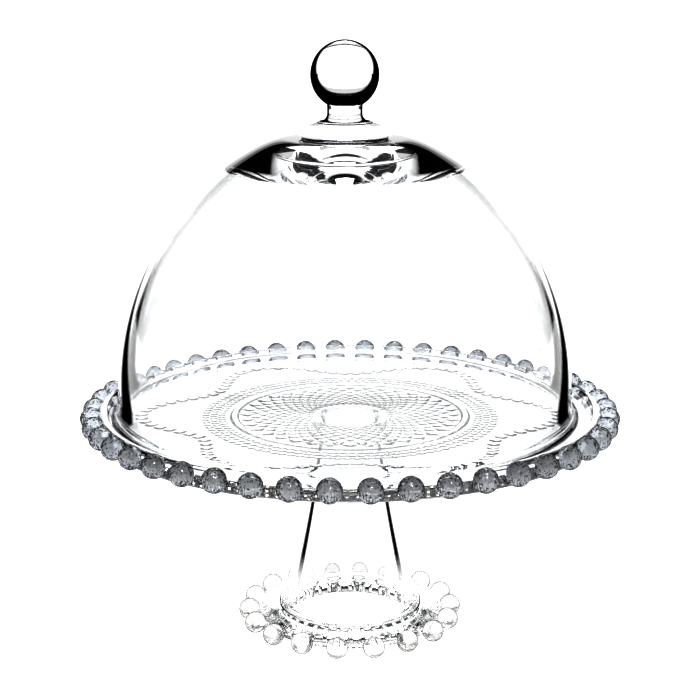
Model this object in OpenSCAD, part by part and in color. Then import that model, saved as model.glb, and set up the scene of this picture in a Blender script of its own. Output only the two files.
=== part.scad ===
// Footed glass cake stand with a loose glass dome.
// The stand is a pressed plate with a beaded rim on a hollow conical stem and
// a beaded foot. The dome is a blown bell with a thick crown and a ball knob,
// and it stands loose inside the plate's raised rim.
// The origin is the middle of the foot's resting face. +Z is up, -Y is the front.

/* [Plate] */
// Height of the plate's flat top above the table
plate_top = 123.5; // [110:0.5:150]
// Thickness of the plate's floor
plate_t = 5.5; // [4:0.5:8]
// Radius of the flat floor inside the raised rim
recess_r = 133.5; // [132.5:0.5:134.5]
// Radius of the plate's outer edge, between the beads
edge_r = 141; // [140:0.5:142]
// Height of the raised rim above the floor
rim_h = 5.5; // [3:0.5:7]

/* [Rim beads] */
// Number of beads round the plate
rim_beads_n = 46; // [36:2:56]
// Radius of a rim bead
rim_bead_r = 6.5; // [5:0.1:7]
// Height of the rim beads' centres above the plate's floor
rim_bead_h = 1.5; // [0:0.5:2]
// Radius of the circle that the rim beads' centres lie on
rim_bead_circle_r = 143.5; // [142:0.5:146]

/* [Pearl garland] */
// Number of pearls in the scalloped garland under the plate
garland_n = 102; // [60:6:114]
// Number of lobes of the garland
garland_lobes = 6; // [4:1:8]
// Radius of the garland at the tips of its lobes
garland_tip_r = 117.5; // [104:0.5:122]
// Radius of the garland at the valleys between its lobes
garland_valley_r = 91; // [84:0.5:100]
// Radius of the sphere that a garland pearl is cut from
pearl_r = 4.2; // [3:0.1:4.3]
// How far a pearl stands out below the plate
pearl_out = 1.4; // [0.5:0.1:1.5]

/* [Stem] */
// Outer radius of the stem where it meets the plate
stem_top_r = 17.3; // [15:0.1:20]
// Outer radius of the stem at its foot
stem_bottom_r = 38; // [34:0.5:39]
// Wall thickness of the stem at the top
stem_wall_top = 4.2; // [3:0.1:6]
// Wall thickness of the stem at the bottom
stem_wall_bottom = 4.6; // [3:0.1:6]
// How strongly the stem flares near its foot
stem_flare = 1.28; // [1:0.01:1.5]

/* [Foot] */
// Radius of the foot's edge, between the beads
foot_edge_r = 54; // [52:0.5:56]
// Thickness of the foot's edge
foot_edge_t = 8.6; // [7:0.1:10]
// Radius of the hollow's mouth in the foot
foot_mouth_r = 38; // [36:0.5:39]
// Outer radius of the step ring between stem and foot
step_ring_r = 40.6; // [39.5:0.1:42]
// Height of the step ring above the foot
step_ring_h = 2.2; // [1:0.1:3]
// Number of beads round the foot
foot_beads_n = 18; // [14:2:22]
// Radius of a foot bead
foot_bead_r = 6; // [5:0.1:6.4]
// Radius of the circle that the foot beads' centres lie on
foot_bead_circle_r = 58; // [56:0.5:60]
// How far the foot is turned against the plate, in degrees
foot_turn = 3; // [0:0.5:10]
// Number of flutes inside the hollow's mouth
flutes_n = 36; // [24:2:48]

/* [Dome] */
// Outer radius of the bell near its rim
bell_r = 126; // [124:0.5:127]
// Height of the bell's curve above its straight skirt
bell_h = 144.5; // [135:0.5:150]
// Height of the straight skirt
skirt_h = 16.5; // [10:0.5:20]
// Height where the skirt's node ends and the bell's starts
skirt_top_h = 45; // [30:1:60]
// Height where the bell's node ends and the shoulder's starts
shoulder_h = 96; // [80:1:110]
// Wall thickness of the bell
bell_t = 2.8; // [2.4:0.1:4]
// Outer radius of the rolled rim that the dome stands on
dome_rim_r = 130.2; // [129:0.1:130.4]
// Height where the bell's curve passes into the crown's flatter top
cap_h = 147; // [145:0.5:148]
// Radius inside which the crown's top is flat
cap_r = 33; // [30:0.5:36]
// Height of the ceiling inside the dome, above the plate
ceiling_h = 135.5; // [131:0.5:139]
// How far the loose dome sits to the left of the plate's middle
dome_shift = 2.8; // [0:0.1:2.8]

/* [Knob] */
// Height of the flat seat of the knob's collar, above the plate
seat_h = 153.5; // [152.5:0.5:155]
// Outer radius of the collar
collar_r = 25.2; // [24:0.1:28]
// Radius of the neck
neck_r = 9.5; // [8:0.1:11]
// Radius of the ball
ball_r = 18.5; // [16:0.5:20]
// Height of the ball's centre above the plate
ball_h = 187.5; // [185:0.5:189]

/* [Hidden] */
$fn = 96;
under = plate_top - plate_t;          // underside of the plate
foot_top = foot_edge_t + 1.6;         // top of the foot at the step ring
step_top = foot_top + step_ring_h;    // top of the step ring, where the stem starts
gap = 0.1;                            // the dome's rim stands this far above the floor at rest
bell_pow_h = 1.972;                   // exponents of the bell's outline
bell_pow_r = 1.868;
rim_top = 4.2;                        // top of the dome's rolled rim, above the plate
cap_slope = 0.571;                    // slope of the bell's curve at cap_h
glass = [0.86, 0.90, 0.93, 0.35];

// Bell outline: outer radius at height h above the plate, reduced by t for the inner wall.
function bell_out(h, t = 0) = h <= skirt_h ? bell_r - t + 1.2 * pow((skirt_h - h) / skirt_h, 2)
    : (bell_r - t) * pow(max(0, 1 - pow(min(1, (h - skirt_h) / (bell_h - t)), bell_pow_h)), 1 / bell_pow_r);

// Garland outline: radius at angle a, a smooth wave with a valley at the front.
function garland_r(a) = (garland_tip_r + garland_valley_r) / 2
    - (garland_tip_r - garland_valley_r) / 2 * cos(garland_lobes * (a + 90));

// Stem outlines, from the step ring (s = 0) to the plate (s = 1).
function stem_out(s) = stem_top_r + (stem_bottom_r - stem_top_r) * pow(1 - s, stem_flare);
function stem_z(s) = step_top + (under - step_top) * s;
function stem_in(s) = stem_out(s) - stem_wall_top - (stem_wall_bottom - stem_wall_top) * (1 - s);

// A ring of n copies. With n twice an odd number, gaps fall on the front and back.
module around(n) {
  for (i = [0 : n - 1])
    rotate([0, 0, i * 360 / n])
      children();
}

module dome_place() {
  translate([-dome_shift, 0, plate_top]) children();
}

// Flat floor of the plate, which the cake and the dome stand on.
module plate_disc() {
  color(glass)
    translate([0, 0, under]) cylinder(r = recess_r, h = plate_t, $fn = 180);
}

// Raised, rounded rim of the plate.
module plate_rim() {
  color(glass)
    rotate_extrude($fn = 180)
      polygon([[recess_r, under], [edge_r - 1.5, under], [edge_r, under + 1.5], [edge_r, plate_top + rim_h - 2.4],
               [edge_r - 0.7, plate_top + rim_h - 1], [edge_r - 2.2, plate_top + rim_h - 0.1],
               [recess_r + 2.6, plate_top + rim_h], [recess_r + 1.1, plate_top + rim_h - 0.5],
               [recess_r + 0.3, plate_top + rim_h - 1.7], [recess_r, plate_top + rim_h - 3]]);
}

// Beads round the plate, grown out of its edge.
module rim_beads() {
  color([0.80, 0.85, 0.92, 0.45])
    around(rim_beads_n)
      difference() {
        translate([rim_bead_circle_r, 0, plate_top + rim_bead_h]) sphere(r = rim_bead_r, $fn = 32);
        translate([0, 0, plate_top - 10]) cylinder(r = edge_r, h = 20, $fn = 180);
      }
}

// Scalloped string of half-round pearls moulded on the plate's underside.
module pearl_garland() {
  color(glass)
    for (i = [0 : garland_n - 1]) {
      a = garland_angle(i);
      translate([garland_r(a) * cos(a), garland_r(a) * sin(a), under])
        intersection() {
          translate([0, 0, pearl_r - pearl_out]) sphere(r = pearl_r, $fn = 24);
          translate([-5, -5, -5]) cube([10, 10, 5]);
        }
    }
}

// Pearls are spread evenly along the garland's length, not evenly by angle.
lobe_steps = 60;
lobe_a = 360 / garland_lobes;
function garland_point(a) = [garland_r(a) * cos(a), garland_r(a) * sin(a)];
lobe_len = [for (i = 0, s = 0; i <= lobe_steps;
             s = s + norm(garland_point(-90 + (i + 1) * lobe_a / lobe_steps) - garland_point(-90 + i * lobe_a / lobe_steps)),
             i = i + 1) s];
function garland_angle(i) = let (per = garland_n / garland_lobes, lobe = floor(i / per), f = (i % per + 0.5) / per)
    -90 + lobe * lobe_a + lookup(f * lobe_len[lobe_steps], [for (k = [0 : lobe_steps]) [lobe_len[k], k * lobe_a / lobe_steps]]);

// Hollow conical stem.
module stem() {
  n = 14;
  color(glass)
    rotate_extrude($fn = 96)
      polygon(concat([for (k = [0 : n]) [stem_out(k / n), stem_z(k / n)]],
                     [for (k = [n : -1 : 0]) [stem_in(k / n), stem_z(k / n)]]));
}

// Step ring between the stem and the foot.
module stem_step_ring() {
  color(glass)
    rotate_extrude($fn = 96)
      polygon([[stem_in(0), foot_top], [step_ring_r, foot_top], [step_ring_r, step_top - 0.7],
               [step_ring_r - 0.7, step_top], [stem_in(0), step_top]]);
}

// Flared foot with the hollow's mouth in its base.
module foot() {
  color(glass)
    rotate_extrude($fn = 128)
      polygon([[foot_mouth_r, 0], [foot_edge_r - 1, 0], [foot_edge_r, 1], [foot_edge_r, foot_edge_t - 1.6],
               [foot_edge_r - 1.2, foot_edge_t - 0.3], [foot_edge_r - 4, foot_edge_t + 0.2],
               [step_ring_r + 2.5, foot_top - 0.5], [step_ring_r, foot_top], [stem_in(0), foot_top],
               [stem_in(0) + 1.2, foot_top - 1.8], [foot_mouth_r - 0.6, 7.6], [foot_mouth_r, 6.8]]);
}

// Beads round the foot, clear of the table.
module foot_beads() {
  color([0.84, 0.88, 0.93, 0.4])
    rotate([0, 0, foot_turn])
      around(foot_beads_n)
      difference() {
        translate([foot_bead_circle_r, 0, foot_bead_r + 0.4]) sphere(r = foot_bead_r, $fn = 32);
        cylinder(r = foot_edge_r, h = 30, center = true, $fn = 128);
      }
}

// Half-round flutes on the wall of the hollow's mouth.
module foot_flutes() {
  color(glass)
    around(flutes_n)
      intersection() {
        translate([foot_mouth_r + 0.4, 0, 0.6]) cylinder(r = 1.5, h = 6, $fn = 96);
        cylinder(r = foot_mouth_r, h = 20, $fn = 360);
      }
}

// Rolled rim that the dome stands on.
module dome_rim() {
  color(glass)
    dome_place()
      rotate_extrude($fn = 180)
        polygon([[bell_out(rim_top) - bell_t - 0.5, gap + 1.2], [bell_out(rim_top) - bell_t + 0.4, gap + 0.2],
                 [bell_out(rim_top) - bell_t + 1.2, gap], [dome_rim_r - 1.4, gap], [dome_rim_r - 0.5, gap + 0.35],
                 [dome_rim_r, gap + 1.3], [dome_rim_r - 0.2, 2.6], [dome_rim_r - 1, 3.5],
                 [bell_out(rim_top), rim_top], [bell_out(rim_top) - bell_t, rim_top]]);
}

// One zone of the bell's thin wall, from height h0 to h1 in n steps.
module bell_zone(h0, h1, n) {
  color(glass)
    dome_place()
      rotate_extrude($fn = 180)
        polygon(concat([for (k = [0 : n]) let (h = h0 + (h1 - h0) * sin(90 * k / n)) [bell_out(h), h]],
                       [for (k = [n : -1 : 0]) let (h = h0 + (h1 - h0) * sin(90 * k / n)) [bell_out(h, bell_t), h]]));
}

// Upright lower wall of the dome, above its rolled rim.
module dome_skirt() {
  bell_zone(rim_top, skirt_top_h, 8);
}

// Curved wall of the dome.
module dome_bell() {
  bell_zone(skirt_top_h, shoulder_h, 10);
}

// Shoulder of the dome, up to the thick crown.
module dome_shoulder() {
  bell_zone(shoulder_h, ceiling_h, 14);
}

// Thick solid crown. Its outside follows the bell, then flattens towards the knob's seat.
// Its underside is the dome's flat ceiling, with a shallow round dimple.
module dome_crown() {
  n = 10;
  m = 10;
  run = bell_out(cap_h) - cap_r;
  power = cap_slope * run / (seat_h - cap_h);
  color([0.72, 0.77, 0.82, 0.5])
    dome_place()
      difference() {
        rotate_extrude($fn = 180)
          polygon(concat([[0, ceiling_h]],
                         [for (k = [0 : n]) let (h = ceiling_h + (cap_h - ceiling_h) * k / n) [bell_out(h), h]],
                         [for (k = [m - 1 : -1 : 0]) [cap_r + run * k / m, seat_h - (seat_h - cap_h) * pow(k / m, power)]],
                         [[0, seat_h]]));
        translate([0, 0, ceiling_h - 1]) cylinder(r = 36, h = 2.2, $fn = 120);
      }
}

// Domed collar of the knob.
module knob_collar() {
  n = 8;
  color(glass)
    dome_place()
      rotate_extrude($fn = 120)
        polygon(concat([[0, seat_h], [collar_r - 1.8, seat_h], [collar_r - 1.3, seat_h + 0.9], [collar_r, seat_h + 1.7], [collar_r - 0.1, seat_h + 2.6]],
                       [for (k = [1 : n]) let (u = k / n) [collar_r - 0.1 - (collar_r - 14.9) * u, seat_h + 2.6 + 5.6 * sin(75 * u) / sin(75)]],
                       [[14.2, seat_h + 8.9], [12.2, seat_h + 9.4], [0, seat_h + 9.4]]));
}

// Short neck of the knob.
module knob_neck() {
  z0 = seat_h + 9.4;
  n = 8;
  color(glass)
    dome_place()
      difference() {
        rotate_extrude($fn = 96)
          polygon(concat([[0, z0], [12.2, z0]],
                         [for (k = [0 : n]) [neck_r + 1.7 * (1 - sin(90 * k / n)), z0 + 0.5 + 3.4 * (1 - cos(90 * k / n))]],
                         [[neck_r, ball_h - 14], [0, ball_h - 14]]));
        translate([0, 0, ball_h]) sphere(r = ball_r, $fn = 96);
      }
}

// Solid ball of the knob.
module knob_ball() {
  color(glass)
    dome_place()
      translate([0, 0, ball_h]) sphere(r = ball_r, $fn = 96);
}

plate_disc();
plate_rim();
rim_beads();
pearl_garland();
stem();
stem_step_ring();
foot();
foot_beads();
foot_flutes();
dome_rim();
dome_skirt();
dome_bell();
dome_shoulder();
dome_crown();
knob_collar();
knob_neck();
knob_ball();
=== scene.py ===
import math

import bpy
import numpy as np
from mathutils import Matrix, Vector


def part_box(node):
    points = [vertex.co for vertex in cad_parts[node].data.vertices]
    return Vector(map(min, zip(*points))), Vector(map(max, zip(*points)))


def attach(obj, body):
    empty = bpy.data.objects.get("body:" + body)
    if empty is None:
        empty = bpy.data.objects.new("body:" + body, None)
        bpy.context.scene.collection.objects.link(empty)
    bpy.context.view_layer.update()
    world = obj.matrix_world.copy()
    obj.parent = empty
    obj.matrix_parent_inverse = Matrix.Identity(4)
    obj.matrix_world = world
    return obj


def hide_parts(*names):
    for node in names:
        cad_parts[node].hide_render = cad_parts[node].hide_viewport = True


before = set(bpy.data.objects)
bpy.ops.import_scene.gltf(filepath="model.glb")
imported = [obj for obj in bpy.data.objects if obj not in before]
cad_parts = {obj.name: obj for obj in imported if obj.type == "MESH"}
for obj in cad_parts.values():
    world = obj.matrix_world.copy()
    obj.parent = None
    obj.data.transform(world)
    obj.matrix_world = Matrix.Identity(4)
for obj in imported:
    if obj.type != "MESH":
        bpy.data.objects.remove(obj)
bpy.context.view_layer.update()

MM = 0.001
scene = bpy.context.scene


# ------------------------------------------------------------------ places, from the CAD frame (mm)
def box(node):
    lo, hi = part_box(node)
    return np.array(lo) / MM, np.array(hi) / MM


disc_lo, disc_hi = box("plate_disc")
rim_lo, rim_hi = box("plate_rim")
bead_lo, bead_hi = box("rim_beads")
stem_lo, stem_hi = box("stem")
step_lo, step_hi = box("stem_step_ring")
foot_lo, foot_hi = box("foot")
fbead_lo, fbead_hi = box("foot_beads")
drim_lo, drim_hi = box("dome_rim")
crown_lo, crown_hi = box("dome_crown")
collar_lo, collar_hi = box("knob_collar")
ball_lo, ball_hi = box("knob_ball")

FLOOR = disc_hi[2]                       # flat top of the plate
UNDER = disc_lo[2]                       # its underside
RECESS = disc_hi[0]                      # inner radius of the raised rim
EDGE = rim_hi[0]                         # outer radius of the rim
RIM_TOP = rim_hi[2]
BEAD_Z = (bead_lo[2] + bead_hi[2]) / 2
BEAD_R = (bead_hi[2] - bead_lo[2]) / 2
BEAD_C = bead_hi[0] - BEAD_R
FOOT_EDGE = foot_hi[0]
STEP_TOP = step_hi[2]
FOOT_TOP = step_lo[2]
STEP_R = step_hi[0]
FBEAD_Z = (fbead_lo[2] + fbead_hi[2]) / 2
FBEAD_R = (fbead_hi[2] - fbead_lo[2]) / 2
DOME_X = (drim_lo[0] + drim_hi[0]) / 2
DOME_RIM = (drim_hi[0] - drim_lo[0]) / 2
DOME_Z = drim_lo[2]
CEILING = crown_lo[2]
SEAT = crown_hi[2]
COLLAR_R = (collar_hi[0] - collar_lo[0]) / 2
COLLAR_TOP = collar_hi[2]
BALL_R = (ball_hi[0] - ball_lo[0]) / 2
BALL_Z = ball_hi[2] - BALL_R

SKIRT = 16.5
BELL_R = 126.0
BELL_H = 144.5
WALL = 2.8


# ------------------------------------------------------------------ materials
def nodes_of(mat):
    mat.use_nodes = True
    nt = mat.node_tree
    nt.nodes.clear()
    return nt


def glass(name, tint, ior, wave_scale, wave_mm, haze, edge_from, edge_to, painted_shade_depth, lean=None, band=None,
          rise=None, within=None, above=None, exits=None, solid=False, grain=None, milk=None):
    """Clear glass: a faint uneven tint, a faint waviness of the surface, a trace of haze in the
    polish, and painted shade: a dark band, driven by Layer Weight facing, where a wall of glass is seen
    along its surface, standing in for the dark room that the edges bend the view to.
    lean, rise: the painted shade starts sooner further out or lower down; band: and ends again;
    within, above: only inside a radius or above a height (mm); exits: the painted shade on the way out;
    solid: the painted shade is a black diffuse that swallows the reflection too; grain: the painted shade breaks up
    into grains;
    milk: a share of the light the finely ribbed or dimpled surface scatters, and its colour."""
    mat = bpy.data.materials.new(name)
    nt = nodes_of(mat)
    N, L = nt.nodes, nt.links
    out = N.new("ShaderNodeOutputMaterial")
    bsdf = N.new("ShaderNodeBsdfPrincipled")
    bsdf.distribution = "GGX"
    bsdf.inputs["IOR"].default_value = ior
    bsdf.inputs["Transmission Weight"].default_value = 1.0
    bsdf.inputs["Metallic"].default_value = 0.0
    co = N.new("ShaderNodeTexCoord")

    def put(socket, v):
        if isinstance(v, (int, float)):
            socket.default_value = v
        else:
            L.new(v, socket)

    def math_(op, a, b=0.0, c=None):
        n = N.new("ShaderNodeMath")
        n.operation = op
        put(n.inputs[0], a)
        put(n.inputs[1], b)
        if c is not None:
            put(n.inputs[2], c)
        return n.outputs[0]

    def step(v, lo, hi, to=1.0, start=0.0):
        n = N.new("ShaderNodeMapRange")
        n.interpolation_type = "SMOOTHSTEP"
        n.inputs["From Min"].default_value = lo
        n.inputs["From Max"].default_value = hi
        n.inputs["To Min"].default_value = start
        n.inputs["To Max"].default_value = to
        L.new(v, n.inputs["Value"])
        return n.outputs["Result"]

    soft = N.new("ShaderNodeTexNoise")
    soft.inputs["Scale"].default_value = wave_scale
    soft.inputs["Detail"].default_value = 2.0
    soft.inputs["Roughness"].default_value = 0.4
    L.new(co.outputs["Object"], soft.inputs["Vector"])

    shade = N.new("ShaderNodeValToRGB")
    shade.color_ramp.elements[0].position = 0.35
    shade.color_ramp.elements[1].position = 0.65
    dark = tuple(c * 0.985 for c in tint)
    shade.color_ramp.elements[0].color = (*dark, 1)
    shade.color_ramp.elements[1].color = (*tint, 1)
    L.new(soft.outputs["Fac"], shade.inputs["Fac"])

    face = N.new("ShaderNodeLayerWeight")
    face.inputs["Blend"].default_value = 0.5
    facing = face.outputs["Facing"]
    sep = N.new("ShaderNodeSeparateXYZ")
    L.new(co.outputs["Object"], sep.inputs["Vector"])
    dist = None
    if lean or within:
        across = N.new("ShaderNodeCombineXYZ")
        L.new(math_("SUBTRACT", sep.outputs["X"], (lean or within)[0] * MM), across.inputs["X"])
        L.new(sep.outputs["Y"], across.inputs["Y"])
        length = N.new("ShaderNodeVectorMath")
        length.operation = "LENGTH"
        L.new(across.outputs[0], length.inputs[0])
        dist = length.outputs["Value"]
    value = facing
    if lean:
        value = math_("ADD", value, math_("MULTIPLY_ADD", dist, lean[2] / MM, -lean[1] * lean[2]))
    if rise:
        value = math_("ADD", value, math_("MULTIPLY_ADD", sep.outputs["Z"], -rise[1] / MM, rise[0] * rise[1]))
    # painted shade broken up by noise into dark grains
    if grain:
        speck = N.new("ShaderNodeTexNoise")
        speck.inputs["Scale"].default_value = grain[0]
        speck.inputs["Detail"].default_value = 3.0
        L.new(co.outputs["Object"], speck.inputs["Vector"])
        value = math_("ADD", value, math_("MULTIPLY_ADD", speck.outputs["Fac"], grain[1], -0.5 * grain[1]))
    # painted shade: darkness from Layer Weight facing at slanting views, standing in for the dark room seen through the
    # glass
    edge = step(value, edge_from, edge_to, painted_shade_depth)
    if band:
        edge = math_("MULTIPLY", edge, step(facing, band[0], band[1], 0.0, 1.0))
    if within:
        edge = math_("MULTIPLY", edge, step(dist, within[1] * MM, within[2] * MM, 0.0, 1.0))
    if above:
        edge = math_("MULTIPLY", edge, step(sep.outputs["Z"], above[0] * MM, above[1] * MM))
    if exits or solid:
        back = N.new("ShaderNodeNewGeometry").outputs["Backfacing"]
        front = math_("SUBTRACT", 1.0, back)
        edge = math_("MULTIPLY", edge, front)
    # painted shade on the inside faces, where the view leaves the glass
    if exits:
        edge = math_("ADD", edge, math_("MULTIPLY", step(facing, exits[0], exits[1], exits[2]), back))

    if solid:
        L.new(shade.outputs["Color"], bsdf.inputs["Base Color"])
        body = bsdf.outputs["BSDF"]
        if milk:
            cloud = N.new("ShaderNodeBsdfDiffuse")
            cloud.inputs["Color"].default_value = (*milk[1], 1)
            stir = N.new("ShaderNodeMixShader")
            L.new(step(soft.outputs["Fac"], 0.3, 0.7, milk[0] * 1.15, milk[0] * 0.85), stir.inputs[0])
            L.new(body, stir.inputs[1])
            L.new(cloud.outputs["BSDF"], stir.inputs[2])
            body = stir.outputs[0]
        # painted shade: a black diffuse mixed in by the edge mask
        black = N.new("ShaderNodeBsdfDiffuse")
        black.inputs["Color"].default_value = (0.0, 0.0, 0.0, 1)
        both = N.new("ShaderNodeMixShader")
        L.new(edge, both.inputs[0])
        L.new(body, both.inputs[1])
        L.new(black.outputs["BSDF"], both.inputs[2])
        L.new(both.outputs[0], out.inputs["Surface"])
    else:
        # painted shade: the base colour mixed towards black by the edge mask
        mix = N.new("ShaderNodeMix")
        mix.data_type = "RGBA"
        mix.inputs[7].default_value = (0.0, 0.0, 0.0, 1)
        L.new(edge, mix.inputs[0])
        L.new(shade.outputs["Color"], mix.inputs[6])
        L.new(mix.outputs[2], bsdf.inputs["Base Color"])
        L.new(bsdf.outputs["BSDF"], out.inputs["Surface"])

    rough = N.new("ShaderNodeMapRange")
    rough.inputs["From Min"].default_value = 0.3
    rough.inputs["From Max"].default_value = 0.8
    rough.inputs["To Min"].default_value = 0.7 * haze if haze > 0.1 else 0.0
    rough.inputs["To Max"].default_value = haze
    L.new(soft.outputs["Fac"], rough.inputs["Value"])
    L.new(rough.outputs["Result"], bsdf.inputs["Roughness"])

    bump = N.new("ShaderNodeBump")
    bump.inputs["Strength"].default_value = 1.0
    bump.inputs["Distance"].default_value = wave_mm * MM
    L.new(soft.outputs["Fac"], bump.inputs["Height"])
    L.new(bump.outputs["Normal"], bsdf.inputs["Normal"])
    return mat


# Each glass below paints shade: its edge numbers give dark bands by Layer Weight facing where the dark room would show
# through the glass; the beads' grain breaks that painted shade into dark grains.
CLEAR = (0.985, 0.992, 0.996)
m_plate = glass("pressed_glass_plate", CLEAR, 1.5, 14.0, 0.03, 0.0, 0.93, 0.99, 0.4,
                exits=(0.27, 0.42, 0.26), solid=True)
m_rim = glass("pressed_glass_rim", (0.95, 0.965, 0.985), 1.5, 60.0, 0.02, 0.02, 0.90, 0.99, 0.6)
m_bead = glass("pressed_glass_beads", (0.86, 0.90, 0.96), 1.5, 60.0, 0.02, 0.02, 0.36, 0.60, 0.85, solid=True,
               grain=(980.0, 3.4), milk=(0.30, (0.93, 0.955, 0.99)))
m_stem = glass("pressed_glass_stem", CLEAR, 1.5, 20.0, 0.02, 0.0, 0.41, 0.46, 1.0, band=(0.52, 0.60),
               above=(22.0, 46.0), solid=True)
m_bore = glass("pressed_glass_bore", CLEAR, 1.5, 20.0, 0.02, 0.0, 0.90, 0.99, 0.3)
m_foot = glass("pressed_glass_foot", CLEAR, 1.5, 30.0, 0.02, 0.0, 0.60, 0.90, 0.6)
m_base = glass("ground_glass_base", CLEAR, 1.12, 60.0, 0.02, 0.02, 0.95, 0.99, 0.3)
m_foot_bead = glass("pressed_glass_foot_beads", (0.97, 0.965, 0.955), 1.5, 60.0, 0.02, 0.0, 0.58, 0.84, 0.95,
                    solid=True, milk=(0.16, (0.97, 0.96, 0.95)))
m_flute = glass("pressed_glass_flutes", CLEAR, 1.5, 30.0, 0.02, 0.0, 0.25, 0.55, 0.95, solid=True)
m_ring = glass("pressed_glass_step_ring", CLEAR, 1.5, 30.0, 0.02, 0.0, 0.55, 0.75, 1.0, solid=True)
m_bell = glass("blown_glass_bell", (0.99, 0.995, 0.998), 1.5, 9.0, 0.05, 0.0, 0.65, 0.69, 1.0, band=(0.80, 0.86),
               rise=(140.0, 0.002), above=(127.0, 133.0), solid=True)
m_crown = glass("blown_glass_crown", (0.985, 0.99, 0.997), 1.5, 16.0, 0.25, 0.0, 0.39, 0.46, 1.0,
                lean=(DOME_X, 63.0, 0.0113), within=(DOME_X, 61.5, 64.5))
m_ball = glass("solid_glass_ball", CLEAR, 1.5, 30.0, 0.02, 0.0, 0.34, 0.43, 1.0, rise=(BALL_Z, 0.018), solid=True)
m_knob = glass("solid_glass_knob", CLEAR, 1.5, 30.0, 0.02, 0.0, 0.45, 0.60, 1.0, solid=True)
m_collar = glass("solid_glass_collar", CLEAR, 1.5, 30.0, 0.02, 0.0, 0.86, 0.95, 0.9, solid=True)
# painted shadow: near-black glass for the groove under the collar's lip and the small step on the collar
m_lip_shadow = glass("solid_glass_painted_lip_shadow", (0.5, 0.52, 0.56), 1.5, 90.0, 0.02, 0.0, -0.3, 0.05, 0.92, solid=True)

# Where two pieces of one casting meet there is no surface in the glass: light goes straight through.
m_join = bpy.data.materials.new("joined_glass")
_nt = nodes_of(m_join)
_out = _nt.nodes.new("ShaderNodeOutputMaterial")
_tr = _nt.nodes.new("ShaderNodeBsdfTransparent")
_nt.links.new(_tr.outputs["BSDF"], _out.inputs["Surface"])


# ------------------------------------------------------------------ mesh code
def make_mesh(name, verts, faces, ids, mats, sharp=32.0):
    """verts in mm; faces as lists of indices; ids the material index of each face."""
    me = bpy.data.meshes.new(name)
    me.from_pydata([tuple(v) for v in np.asarray(verts) * MM], [], faces)
    me.update()
    for m in mats:
        me.materials.append(m)
    me.polygons.foreach_set("material_index", np.asarray(ids, dtype=np.int32))
    ob = bpy.data.objects.new(name, me)
    scene.collection.objects.link(ob)
    if volume(me) < 0:
        me.flip_normals()
    finish_shade(me, sharp)
    return ob


def volume(me):
    me.calc_loop_triangles()
    n = len(me.loop_triangles)
    tri = np.empty(n * 3, dtype=np.int32)
    me.loop_triangles.foreach_get("vertices", tri)
    co = np.empty(len(me.vertices) * 3)
    me.vertices.foreach_get("co", co)
    p = co.reshape(-1, 3)[tri.reshape(-1, 3)]
    return float(np.einsum("ij,ij->i", p[:, 0], np.cross(p[:, 1], p[:, 2])).sum() / 6)


def finish_shade(me, sharp):
    me.polygons.foreach_set("use_smooth", np.ones(len(me.polygons), dtype=bool))
    me.set_sharp_from_angle(angle=math.radians(sharp))
    me.update()


def revolve_data(loop, segs, centre=(0.0, 0.0), shape=None):
    """loop: closed list of (r, z, id), id being the material of the strip that starts there.
    shape, if given, is shape(k, angles) -> change in z of ring k, in mm."""
    ang = np.arange(segs) * (2 * math.pi / segs)
    verts, rings, faces, ids = [], [], [], []
    base = 0
    for k, (r, z, _) in enumerate(loop):
        if r < 1e-6:
            verts.append(np.array([[centre[0], centre[1], z]]))
            rings.append((base, 1))
            base += 1
        else:
            dz = shape(k, ang) if shape else 0.0
            zz = np.full(segs, z) + dz
            verts.append(np.stack([centre[0] + r * np.cos(ang), centre[1] + r * np.sin(ang), zz], 1))
            rings.append((base, segs))
            base += segs
    n = len(loop)
    for k in range(n):
        a, na = rings[k]
        b, nb = rings[(k + 1) % n]
        i = np.arange(segs)
        j = (i + 1) % segs
        if na == 1 and nb == 1:
            continue
        if na == 1:
            f = np.stack([np.full(segs, a), b + j, b + i], 1)
        elif nb == 1:
            f = np.stack([a + i, a + j, np.full(segs, b)], 1)
        else:
            f = np.stack([a + i, a + j, b + j, b + i], 1)
        faces.extend(f.tolist())
        ids.extend([loop[k][2]] * segs)
    return np.concatenate(verts), faces, ids


def revolve(name, loop, segs, mats, centre=(0.0, 0.0), sharp=32.0, shape=None):
    v, f, i = revolve_data(loop, segs, centre, shape)
    return make_mesh(name, v, f, i, mats, sharp)


def arc(cx, cz, r, a0, a1, n, rz=None):
    """Points of an arc in the profile plane, angles in degrees."""
    rz = r if rz is None else rz
    return [(cx + r * math.cos(math.radians(a0 + (a1 - a0) * k / n)),
             cz + rz * math.sin(math.radians(a0 + (a1 - a0) * k / n))) for k in range(n + 1)]


def smooth_curve(pts, n):
    """A Catmull-Rom curve through a few profile points."""
    p = [np.array(q, float) for q in pts]
    p = [2 * p[0] - p[1]] + p + [2 * p[-1] - p[-2]]
    out = []
    for i in range(1, len(p) - 2):
        for k in range(n):
            t = k / n
            out.append(tuple(0.5 * ((2 * p[i]) + (p[i + 1] - p[i - 1]) * t
                                    + (2 * p[i - 1] - 5 * p[i] + 4 * p[i + 1] - p[i + 2]) * t * t
                                    + (3 * p[i] - p[i - 1] - 3 * p[i + 1] + p[i + 2]) * t ** 3)))
    out.append(tuple(p[-2]))
    return out


def tag(pts, i=0):
    return [(r, z, i) for r, z in pts]


# ------------------------------------------------------------------ the relief pressed into the plate's underside
LOBES = 6
TIP, VALLEY = 117.5, 91.0


def garland_r(a):
    return (TIP + VALLEY) / 2 - (TIP - VALLEY) / 2 * np.cos(LOBES * (a + math.pi / 2))


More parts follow.
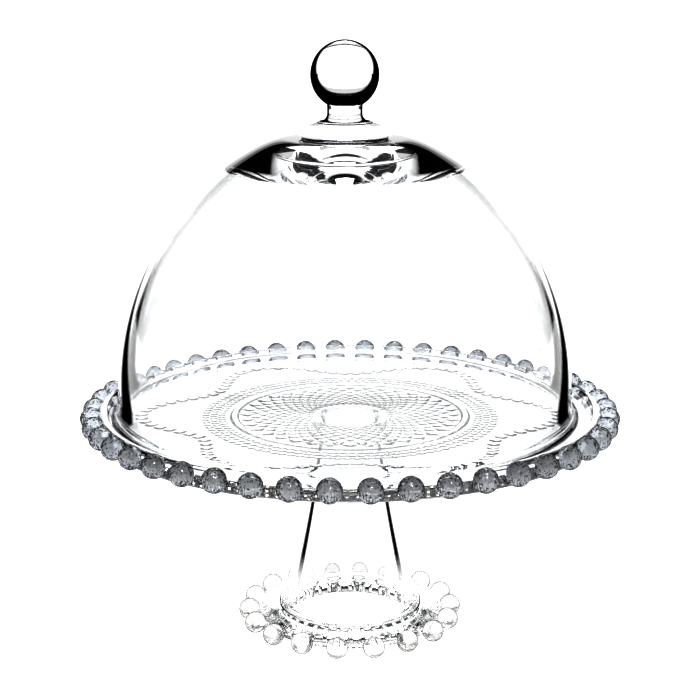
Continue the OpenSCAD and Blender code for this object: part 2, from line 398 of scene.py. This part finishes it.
def garland_pearls(n=102):
    per = n // LOBES
    a = -math.pi / 2 + np.linspace(0, 2 * math.pi / LOBES, 601)
    x, y = garland_r(a) * np.cos(a), garland_r(a) * np.sin(a)
    s = np.concatenate([[0], np.cumsum(np.hypot(np.diff(x), np.diff(y)))])
    pts = []
    for lobe in range(LOBES):
        for i in range(per):
            aa = np.interp((i + 0.5) / per * s[-1], s, a) + lobe * 2 * math.pi / LOBES
            pts.append((garland_r(aa), aa % (2 * math.pi)))
    return pts


PEARLS = garland_pearls()
PEARL_BASE, PEARL_OUT = 3.15, 1.35
PEARL_SPH = (PEARL_BASE ** 2 + PEARL_OUT ** 2) / (2 * PEARL_OUT)


def relief_garland(r, ang):
    h = np.zeros_like(ang)
    for pr, pa in PEARLS:
        if abs(pr - r) > PEARL_BASE:
            continue
        d2 = r * r + pr * pr - 2 * r * pr * np.cos(ang - pa)
        cap = np.sqrt(np.maximum(PEARL_SPH ** 2 - d2, 0)) - (PEARL_SPH - PEARL_OUT)
        h = np.maximum(h, np.where(d2 < PEARL_BASE ** 2, cap, 0))
    return h


ROWS = [(81.0, 0.0), (76.5, 0.5), (72.0, 0.0)]
ROW_N = 102


def relief_rows(r, ang):
    h = np.zeros_like(ang)
    for rr, off in ROWS:
        x = (r - rr) / 1.75
        if abs(x) >= 1:
            continue
        pitch = 2 * math.pi / ROW_N
        t = (ang / pitch + off + 0.25) % 1.0 - 0.5
        y = t * pitch * rr / 2.0
        d2 = x * x + y * y
        h = np.maximum(h, 0.62 * np.sqrt(np.maximum(1 - d2, 0)))
    return h


def relief_ring(r):
    x = (r - 64.8) / 2.4
    return 0.7 * math.sqrt(max(0.0, 1 - x * x)) if abs(x) < 1 else 0.0


SPIRALS = 36
PITCH = 2 * math.pi / SPIRALS
LAST_ROW = 57.5


def relief_lattice(r, ang):
    """Diamonds between two crossing sets of spirals; the last row gives the scalloped edge."""
    if r < 22.7 or r > 64:
        return np.zeros_like(ang)
    rho = math.log(r / LAST_ROW)
    u = (ang + rho) / PITCH + 0.5
    v = (ang - rho) / PITCH + 0.5
    ui, vi = np.floor(u), np.floor(v)
    row = (ui - vi) / 2.0
    fu, fv = u - ui, v - vi
    h = 0.95 * (1 - np.maximum(np.abs(2 * fu - 1), np.abs(2 * fv - 1)))
    h = np.minimum(h, 0.62)
    inner = min(1.0, (r - 22.7) / 1.2)
    return np.where(row < 0.3, h, 0) * inner


def underside(r, ang):
    return -(relief_lattice(r, ang) + relief_ring(r) + relief_rows(r, ang) + relief_garland(r, ang))


def band(name, radii, segs, walls, top, mats):
    """One ring of the plate's floor. radii run outwards; walls is not used."""
    loop = []
    for r in top:                              # top, outwards
        loop.append((r, FLOOR, 0))
    loop[-1] = (loop[-1][0], FLOOR, 1)         # outer wall
    back = list(radii)[::-1]                   # underside, inwards
    for r in back:
        loop.append((r, UNDER, 0))
    if radii[0] > 0:
        loop[-1] = (radii[0], UNDER, 1)        # inner wall
    first = len(top)

    def shape(k, ang):
        if k < first:
            return 0.0
        r = back[k - first]
        return underside(r, ang)

    return loop, shape


def spread(a, b, step):
    n = max(1, int(math.ceil((b - a) / step - 1e-9)))
    return [a + (b - a) * k / n for k in range(n + 1)]


# centre of the floor: the join with the stem is the ring between the bore and the stem's wall
BORE_TOP = 13.1
STEM_TOP = 17.3
lat = spread(23.4, 62.4, 0.62)
centre_r = [0.0, 6.0, BORE_TOP, STEM_TOP, 19.0, 22.7] + lat
loop, shp = band("c", centre_r, 720, None, [0.0, 20.0, 40.0, 62.4], None)
# mark the ring that the stem grows from as a join
loop = [(r, z, 1 if (z == UNDER and abs(r - STEM_TOP) < 1e-6) else i) for r, z, i in loop]
floor_centre = revolve("plate_floor_lattice", loop, 720, [m_plate, m_join], sharp=60.0, shape=shp)

rows_r = sorted(set(spread(62.4, 67.6, 0.4) + spread(67.6, 69.9, 0.8) + spread(69.9, 83.3, 0.5)))
loop, shp = band("r", rows_r, 1020, None, [62.4, 72.0, 83.3], None)
floor_rows = revolve("plate_floor_pearl_rows", loop, 1020, [m_plate, m_join], sharp=60.0, shape=shp)

gar_r = sorted(set(spread(83.3, 87.3, 2.0) + spread(87.3, 121.2, 0.72) + spread(121.2, RECESS, 3.0)))
loop, shp = band("g", gar_r, 1080, None, [83.3, 100.0, 117.0, RECESS], None)
floor_garland = revolve("plate_floor_garland", loop, 1080, [m_plate, m_join], sharp=60.0, shape=shp)


# ------------------------------------------------------------------ beaded rim
def ball_mesh(c, r, lon, lat_angles, ribs=0, amp=0.0, turn=0.0):
    """A bead with its poles up and down. Below its equator it has upright ribs."""
    lats = np.radians(lat_angles)
    ang = np.arange(lon) * (2 * math.pi / lon) + turn
    verts = [np.array([[c[0], c[1], c[2] + r]])]
    for la in lats:
        fade = min(1.0, max(0.0, (0.25 - math.sin(la)) / 0.35)) * min(1.0, math.cos(la) / 0.35)
        rr = r - amp * fade * (0.5 + 0.5 * np.cos(ribs * ang)) if ribs else np.full(lon, r)
        verts.append(np.stack([c[0] + rr * np.cos(la) * np.cos(ang), c[1] + rr * np.cos(la) * np.sin(ang),
                               c[2] + rr * np.sin(la)], 1))
    verts.append(np.array([[c[0], c[1], c[2] - r]]))
    v = np.concatenate(verts)
    faces = []
    i = np.arange(lon)
    j = (i + 1) % lon
    faces += np.stack([np.zeros(lon, int), 1 + i, 1 + j], 1).tolist()
    for k in range(len(lats) - 1):
        a, b = 1 + k * lon, 1 + (k + 1) * lon
        faces += np.stack([a + i, b + i, b + j, a + j], 1).tolist()
    a, e = 1 + (len(lats) - 1) * lon, len(v) - 1
    faces += np.stack([a + i, np.full(lon, e), a + j], 1).tolist()
    return v, faces


def union(base, other, name, sharp, join_slot=None):
    mod = base.modifiers.new("grow", "BOOLEAN")
    mod.operation = "UNION"
    mod.solver = "MANIFOLD"
    mod.object = other
    deps = bpy.context.evaluated_depsgraph_get()
    me = bpy.data.meshes.new_from_object(base.evaluated_get(deps))
    base.modifiers.remove(mod)
    old = base.data
    base.data = me
    me.name = name
    bpy.data.meshes.remove(old)
    bpy.data.objects.remove(other)
    finish_shade(me, sharp)
    return base


t = RIM_TOP
rim_profile = (
    [(RECESS, UNDER), (EDGE - 1.6, UNDER)]
    + arc(EDGE - 1.6, UNDER + 1.6, 1.6, -90, 0, 5)[1:]
    + [(EDGE, t - 3.2)]
    + arc(EDGE - 3.2, t - 3.2, 3.2, 0, 90, 7)[1:]
    + [(RECESS + 3.3, t)]
    + arc(RECESS + 3.3, t - 2.8, 2.8, 90, 180, 6)[1:]
    + [(RECESS + 0.35, FLOOR + 1.2), (RECESS, FLOOR)]
)
loop = [(r, z, 0) for r, z in rim_profile]
loop[-1] = (RECESS, FLOOR, 1)
rim = revolve("rim_tmp", loop, 368, [m_rim, m_join, m_bead], sharp=50.0)

V, F = [], []
base = 0
lat_up = [70, 50, 32, 16, 4]
lat_dn = [-6, -15, -24, -33, -42, -51, -60, -69, -79]
for i in range(46):
    a = i * 2 * math.pi / 46
    v, f = ball_mesh((BEAD_C * math.cos(a), BEAD_C * math.sin(a), BEAD_Z), BEAD_R, 112, lat_up + lat_dn, 28, 0.34, a)
    V.append(v)
    F += [[q + base for q in face] for face in f]
    base += len(v)
beads = make_mesh("beads_tmp", np.concatenate(V), F, [2] * len(F), [m_rim, m_join, m_bead], sharp=80.0)
beaded_rim = union(rim, beads, "beaded_rim", 50.0)
beaded_rim.name = "beaded_rim"


# ------------------------------------------------------------------ stem and beaded foot
FLARE = 1.28
STEM_BOT = 38.0
W_TOP, W_BOT = 4.2, 4.6


def stem_out(s):
    return STEM_TOP + (STEM_BOT - STEM_TOP) * (1 - s) ** FLARE


def stem_in(s):
    return stem_out(s) - W_TOP - (W_BOT - W_TOP) * (1 - s)


def stem_z(s):
    return STEP_TOP + (UNDER - STEP_TOP) * s


outer = [(stem_out(k / 40), stem_z(k / 40)) for k in range(41)]
inner = [(stem_in(k / 40), stem_z(k / 40)) for k in range(40, -1, -1)]
loop = (
    [(stem_in(0), FOOT_TOP, 1), (STEP_R - 0.2, FOOT_TOP, 3)]
    + tag(arc(STEP_R - 0.9, STEP_TOP - 0.9, 0.9, 0, 90, 5)[:4], 3)
    + tag(arc(STEP_R - 0.9, STEP_TOP - 0.9, 0.9, 0, 90, 5)[4:])
    + tag([(STEM_BOT + 0.5, STEP_TOP), (STEM_BOT + 0.1, STEP_TOP + 0.25)])
    + tag(outer[1:-1]) + [(outer[-1][0], outer[-1][1], 1)]
    + tag(inner, 2)
)
stem = revolve("stem_cone", loop, 256, [m_stem, m_join, m_bore, m_ring], sharp=35.0)

MOUTH = 38.0
FLUTES = 36


foot_top_line = smooth_curve([(STEP_R, FOOT_TOP), (STEP_R + 2.2, FOOT_TOP - 0.45), (47.0, 9.35), (50.6, 8.85), (52.6, 8.3)], 5)
edge_line = arc(FOOT_EDGE - 2.6, 5.8, 2.6, 68, 0, 6) + [(FOOT_EDGE, 1.2)] + arc(FOOT_EDGE - 1.2, 1.2, 1.2, 0, -90, 4)[1:]
mouth_line = smooth_curve([(MOUTH, 6.6), (MOUTH - 0.7, 7.9), (stem_in(0) + 1.0, 8.9), (stem_in(0), FOOT_TOP)], 4)
loop = (
    [(stem_in(0), FOOT_TOP, 1)]
    + tag(foot_top_line)
    + tag(edge_line[:-1]) + tag(edge_line[-1:], 3)
    + [(FOOT_EDGE - 2.0, 0.0, 0), (FOOT_EDGE - 2.6, 3.6, 0), (MOUTH + 1.8, 0.0, 3), (MOUTH + 0.6, 0.0, 0), (MOUTH, 0.6, 0)]
    + tag(mouth_line[:-1])
)
foot = revolve("foot_tmp", loop, 288, [m_foot, m_join, m_foot_bead, m_base, m_flute], sharp=40.0)

# flutes on the wall of the hollow's mouth
V, F = [], []
base = 0
for i in range(FLUTES):
    a = i * 2 * math.pi / FLUTES
    prof = [(math.cos(b), math.sin(b)) for b in np.linspace(0, 2 * math.pi, 16, endpoint=False)]
    rings = []
    for z, q in ((0.75, 0.75), (1.1, 1.0), (5.6, 1.0), (6.3, 0.8), (6.8, 0.4)):
        rings.append([((MOUTH + 0.45) * math.cos(a) + 1.5 * q * (p[0] * math.cos(a) - p[1] * math.sin(a)),
                       (MOUTH + 0.45) * math.sin(a) + 1.5 * q * (p[0] * math.sin(a) + p[1] * math.cos(a)), z) for p in prof])
    v = np.array([p for ring in rings for p in ring])
    f = [list(range(15, -1, -1)), [64 + q for q in range(16)]]
    for k in range(4):
        for q in range(16):
            f.append([k * 16 + q, k * 16 + (q + 1) % 16, (k + 1) * 16 + (q + 1) % 16, (k + 1) * 16 + q])
    V.append(v)
    F += [[q + base for q in face] for face in f]
    base += len(v)
flutes = make_mesh("flutes_tmp", np.concatenate(V), F, [4] * len(F),
                   [m_foot, m_join, m_foot_bead, m_base, m_flute], sharp=40.0)
foot = union(foot, flutes, "foot_fluted", 40.0)

V, F = [], []
base = 0
lats = [75, 60, 45, 30, 15, 0, -15, -30, -45, -60, -75]
for i in range(18):
    a = i * 2 * math.pi / 18 + math.radians(3)
    v, f = ball_mesh((58.0 * math.cos(a), 58.0 * math.sin(a), FBEAD_Z), FBEAD_R, 48, lats, 0, 0.0, a)
    V.append(v)
    F += [[q + base for q in face] for face in f]
    base += len(v)
fbeads = make_mesh("fbeads_tmp", np.concatenate(V), F, [2] * len(F), [m_foot, m_join, m_foot_bead, m_base, m_flute], sharp=80.0)
beaded_foot = union(foot, fbeads, "beaded_foot", 40.0)
beaded_foot.name = "beaded_foot"


# ------------------------------------------------------------------ dome
def bell(h, t=0.0):
    if h <= SKIRT:
        return BELL_R - t + 1.2 * ((SKIRT - h) / SKIRT) ** 2
    q = max(0.0, 1 - min(1.0, (h - SKIRT) / (BELL_H - t)) ** 1.972)
    return (BELL_R - t) * q ** (1 / 1.868)


C = (DOME_X, 0.0)
lip = DOME_Z - FLOOR
top_h = CEILING - FLOOR
hs = [6.6 + (top_h - 6.6) * math.sin(math.radians(90 * k / 60)) for k in range(61)]
outer = [(bell(h), h) for h in hs]
inner = [(bell(h, WALL), h) for h in reversed(hs)]
lip_out = smooth_curve([(DOME_RIM - 3.9, lip), (DOME_RIM - 1.3, lip), (DOME_RIM - 0.35, lip + 0.45), (DOME_RIM, lip + 1.5),
                        (DOME_RIM - 0.35, 2.9), (DOME_RIM - 1.5, 4.1), (DOME_RIM - 3.0, 5.2), outer[0]], 4)
lip_in = smooth_curve([inner[-1], (bell(4.6, WALL), 4.6), (bell(2.6, WALL) - 0.1, 2.6), (bell(1, WALL) + 0.2, lip + 0.8),
                       (DOME_RIM - 4.7, lip + 0.15), (DOME_RIM - 3.9, lip)], 3)
prof = lip_out[:-1] + outer
n_out = len(prof)
prof = prof + inner + lip_in[1:-1]
loop = [(r, FLOOR + z, 1 if k == n_out - 1 else 0) for k, (r, z) in enumerate(prof)]
dome_bell = revolve("dome_bell_wall", loop, 288, [m_bell, m_join], centre=C, sharp=40.0)

# crown: from the ceiling to the collar's seat
CAP_H, CAP_R = 147.0, 33.0
hs = [top_h + (CAP_H - top_h) * k / 14 for k in range(15)]
outer = [(bell(h), FLOOR + h) for h in hs]
run = outer[-1][0] - CAP_R
rise = SEAT - FLOOR - CAP_H
power = 0.571 * run / rise
outer += [(CAP_R + run * k / 18, SEAT - rise * (k / 18) ** power) for k in range(17, -1, -1)]
r_in = bell(top_h, WALL)
dim = 36.0
loop = (
    [(0.0, CEILING + 1.2, 0), (dim - 1.2, CEILING + 1.2, 0)]
    + tag(arc(dim - 1.2, CEILING, 1.2, 80, 0, 4))
    + tag([(dim + 1.0, CEILING), (r_in - 3, CEILING)])
    + [(r_in, CEILING, 1)]
    + tag(outer)
    + [(COLLAR_R - 1.8, SEAT, 1), (0.0, SEAT, 0)]
)
crown = revolve("dome_crown_thick", loop, 288, [m_crown, m_join], centre=C, sharp=40.0)

# knob: collar, neck and ball in one profile
collar = (
    [(COLLAR_R - 1.8, SEAT), (COLLAR_R - 1.75, SEAT + 0.7), (COLLAR_R - 1.2, SEAT + 1.25)]
    + arc(COLLAR_R - 0.55, SEAT + 2.0, 0.55, -70, 50, 6)
    + smooth_curve([(COLLAR_R - 0.4, SEAT + 2.65), (COLLAR_R - 3.2, SEAT + 5.1), (COLLAR_R - 6.6, SEAT + 7.1),
                    (15.2, SEAT + 8.3)], 6)
    + smooth_curve([(14.7, SEAT + 8.9), (13.6, SEAT + 9.3), (12.2, SEAT + 9.5), (10.6, SEAT + 10.6), (9.6, SEAT + 12.6),
                    (9.5, SEAT + 15.5)], 5)
)
a0 = -math.degrees(math.acos(9.7 / BALL_R))
ball = arc(0, BALL_Z, BALL_R, a0, 90, 60)
collar[-1] = (9.5, SEAT + 15.5)
neck_from = SEAT + 9.2


def collar_id(z):
    """The groove under the lip and the small step half way up are painted as dark shadow lines."""
    if z < SEAT + 1.2 or SEAT + 8.25 < z < SEAT + 8.6:
        return 4
    return 2 if z < neck_from else 0


loop = ([(0.0, SEAT, 1)] + [(r, z, collar_id(z)) for r, z in collar] + tag([(9.55, ball[0][1] - 0.5)])
        + tag(ball[:-1], 3) + [(0.0, BALL_Z + BALL_R, 3)])
knob = revolve("knob_solid", loop, 192, [m_knob, m_join, m_collar, m_ball, m_lip_shadow], centre=C, sharp=40.0)


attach(floor_centre, "stand")
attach(floor_rows, "stand")
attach(floor_garland, "stand")
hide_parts("plate_disc")
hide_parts("plate_disc")
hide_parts("plate_disc", "pearl_garland")
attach(beaded_rim, "stand")
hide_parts("plate_rim", "rim_beads")
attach(stem, "stand")
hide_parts("stem", "stem_step_ring")
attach(beaded_foot, "stand")
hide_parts("foot", "foot_beads", "foot_flutes")
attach(dome_bell, "dome")
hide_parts("dome_rim", "dome_skirt", "dome_bell", "dome_shoulder")
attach(crown, "dome")
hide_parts("dome_crown")
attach(knob, "dome")
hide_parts("knob_collar", "knob_neck", "knob_ball")

# ------------------------------------------------------------------ studio
# A white light table with white cards behind it, in a dark room: glass is lit from behind, and its
# edges bend the view out to the dark room and read black; the glass materials paint that black edge as shade too.
WHITE = 1.5


def glow(name, strength):
    mat = bpy.data.materials.new(name)
    nt = nodes_of(mat)
    out = nt.nodes.new("ShaderNodeOutputMaterial")
    em = nt.nodes.new("ShaderNodeEmission")
    em.inputs["Color"].default_value = (1, 1, 1, 1)
    em.inputs["Strength"].default_value = strength
    nt.links.new(em.outputs["Emission"], out.inputs["Surface"])
    return mat


m_white = glow("studio_white", WHITE)


def stage_mesh(name, verts, faces, mat):
    me = bpy.data.meshes.new(name)
    me.from_pydata(verts, [], faces)
    me.materials.append(mat)
    ob = bpy.data.objects.new(name, me)
    scene.collection.objects.link(ob)
    return ob


# the table: reach in metres for each bearing in degrees (90 is behind the object)
REACH = [(0, 4.0), (60, 5.0), (122, 5.0), (197, 5.0), (250, 4.0), (284, 4.0), (292, 12.0), (338, 12.0), (346, 4.0), (360, 4.0)]


def reach(b):
    return float(np.interp(b % 360, [q[0] for q in REACH], [q[1] for q in REACH]))


ZF = -0.0002
pts = [(0.0, 0.0, ZF)]
for b in range(0, 360, 1):
    q = reach(b)
    pts.append((q * math.cos(math.radians(b)), q * math.sin(math.radians(b)), ZF))
floor = stage_mesh("studio_floor", pts, [(0, 1 + i, 1 + (i + 1) % 360) for i in range(360)], m_white)
card_back = stage_mesh("card_back", [(-3.2, 4.0, 0), (3.2, 4.0, 0), (3.2, 4.0, 1.2), (-3.2, 4.0, 1.2)], [(0, 1, 2, 3)], m_white)
card_left = stage_mesh("card_left", [(-4.2, -1.25, 0), (-4.2, 1.25, 0), (-4.2, 1.25, 1.2), (-4.2, -1.25, 1.2)], [(0, 1, 2, 3)], m_white)
m_fade = glow("studio_fade", 0.8)
card_fade = stage_mesh("card_fade", [(-3.0, 4.0, 1.2), (3.0, 4.0, 1.2), (3.0, 4.0, 1.65), (-3.0, 4.0, 1.65)], [(0, 1, 2, 3)], m_fade)

world = bpy.data.worlds.new("studio")
scene.world = world
world.use_nodes = True
nt = world.node_tree
nt.nodes.clear()
out = nt.nodes.new("ShaderNodeOutputWorld")
bg = nt.nodes.new("ShaderNodeBackground")
bg.inputs["Color"].default_value = (0.012, 0.012, 0.013, 1)
bg.inputs["Strength"].default_value = 1.0
nt.links.new(bg.outputs["Background"], out.inputs["Surface"])


def area(name, loc, target, size, power, color=(1, 1, 1)):
    from mathutils import Vector
    li = bpy.data.lights.new(name, "AREA")
    li.shape = "RECTANGLE"
    li.size, li.size_y = size
    li.energy = power
    li.color = color
    ob = bpy.data.objects.new(name, li)
    ob.location = loc
    d = Vector(target) - Vector(loc)
    ob.rotation_euler = d.to_track_quat("-Z", "Y").to_euler()
    scene.collection.objects.link(ob)
    return ob


area("softbox_back", (0.0, 1.5, 1.5), (0, 0, 0.2), (0.9, 0.6), 16)
area("softbox_front", (0.3, -1.6, 1.7), (0, 0, 0.2), (0.45, 0.45), 34)

# ------------------------------------------------------------------ camera
cam_data = bpy.data.cameras.new("camera")
cam_data.sensor_width = 36.0
cam_data.lens = 36.0 * 1603.0 / 700.0
cam_data.clip_start = 0.01
cam_data.clip_end = 100.0
cam = bpy.data.objects.new("camera", cam_data)
cam.location = (0.0, -0.8682, 0.3697)
cam.rotation_euler = (math.radians(90 - 13.62), 0, 0)
scene.collection.objects.link(cam)
scene.camera = cam

scene.view_settings.view_transform = "Standard"
scene.view_settings.gamma = 0.62
cy = scene.cycles
cy.max_bounces = 28
cy.transmission_bounces = 28
cy.glossy_bounces = 28
cy.transparent_max_bounces = 64
cy.caustics_reflective = True
cy.caustics_refractive = True
cy.blur_glossy = 0.0
